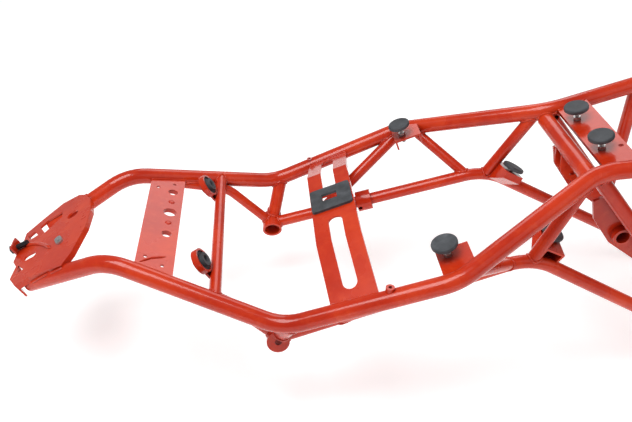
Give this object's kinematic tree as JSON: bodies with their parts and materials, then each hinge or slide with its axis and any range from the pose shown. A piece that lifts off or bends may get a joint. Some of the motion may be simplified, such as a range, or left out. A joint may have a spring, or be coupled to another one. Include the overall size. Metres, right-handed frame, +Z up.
{
  "type": "sport quad frame",
  "caption": "Bare welded tubular main frame of a small four-wheeled sport vehicle, with seat, shock and swing arm mounts and screw-in rubber bumpers.",
  "frame": {"origin": "on the ground under the middle of the frame's box, on the centre plane", "axes": "+X forwards towards the nose, +Y to the rider's left, +Z up; the frame stands as it does on the vehicle"},
  "size_m": [1.4541, 0.438, 0.4618],
  "materials": {
    "frame_paint": "glossy red-orange paint over welded steel",
    "rubber": "matte charcoal moulded rubber",
    "zinc": "zinc plated steel",
    "black_bolt": "black oxide steel"
  },
  "bodies": {
    "frame": {"left_upper_rail": "frame_paint", "right_upper_rail": "frame_paint", "left_lower_rail": "frame_paint", "right_lower_rail": "frame_paint", "left_cradle_tube": "frame_paint", "right_cradle_tube": "frame_paint", "left_rear_strut": "frame_paint", "right_rear_strut": "frame_paint", "left_rear_post": "frame_paint", "right_rear_post": "frame_paint", "left_mid_strut": "frame_paint", "right_mid_strut": "frame_paint", "left_vee_strut": "frame_paint", "right_vee_strut": "frame_paint", "left_fore_strut": "frame_paint", "right_fore_strut": "frame_paint", "left_front_post": "frame_paint", "right_front_post": "frame_paint", "left_mount_sleeve": "frame_paint", "right_mount_sleeve": "frame_paint", "crossbar": "frame_paint", "left_ring_tab": "frame_paint", "right_ring_tab": "frame_paint", "left_ring_grommet": "rubber", "right_ring_grommet": "rubber", "rear_plate": "frame_paint", "seat_plate": "frame_paint", "latch_pad": "rubber", "shock_cross_tube": "frame_paint", "shock_ears": "frame_paint", "channel_plate": "frame_paint", "stud_nuts": "zinc", "left_rail_bracket": "frame_paint", "right_rail_bracket": "frame_paint", "left_low_bracket": "frame_paint", "right_low_bracket": "frame_paint", "tail_bracket": "frame_paint", "left_pivot_plate": "frame_paint", "right_pivot_plate": "frame_paint", "pivot_sleeves": "frame_paint", "left_arm_post": "frame_paint", "right_arm_post": "frame_paint", "cross_tubes": "frame_paint", "steering_tube": "frame_paint", "arm_tabs": "frame_paint", "frame_bosses": "frame_paint", "tail_bolt": "black_bolt", "tail_clip": "zinc"},
    "rail_bumper_left": {"rail_head_left": "rubber", "rail_stud_left": "zinc"},
    "rail_bumper_right": {"rail_head_right": "rubber", "rail_stud_right": "zinc"},
    "low_bumper_left": {"low_head_left": "rubber", "low_stud_left": "zinc"},
    "low_bumper_right": {"low_head_right": "rubber", "low_stud_right": "zinc"},
    "chan_bumper_left": {"chan_head_left": "rubber", "chan_stud_left": "zinc"},
    "chan_bumper_right": {"chan_head_right": "rubber", "chan_stud_right": "zinc"}
  },
  "joints": [
    {"name": "rail_bumper_left_height", "type": "slide", "parent": "frame", "child": "rail_bumper_left", "axis": [-0.3447, 0, 0.9387], "range_m": [0, 0.004]},
    {"name": "rail_bumper_right_height", "type": "slide", "parent": "frame", "child": "rail_bumper_right", "axis": [-0.3447, 0, 0.9387], "range_m": [0, 0.004]},
    {"name": "low_bumper_left_height", "type": "slide", "parent": "frame", "child": "low_bumper_left", "axis": [0.4496, 0.1392, 0.8823], "range_m": [0, 0.004]},
    {"name": "low_bumper_right_height", "type": "slide", "parent": "frame", "child": "low_bumper_right", "axis": [0.4496, -0.1392, 0.8823], "range_m": [0, 0.004]},
    {"name": "chan_bumper_left_height", "type": "slide", "parent": "frame", "child": "chan_bumper_left", "axis": [-0.2756, 0, 0.9613], "range_m": [0, 0.004]},
    {"name": "chan_bumper_right_height", "type": "slide", "parent": "frame", "child": "chan_bumper_right", "axis": [-0.2756, 0, 0.9613], "range_m": [0, 0.004]}
  ]
}
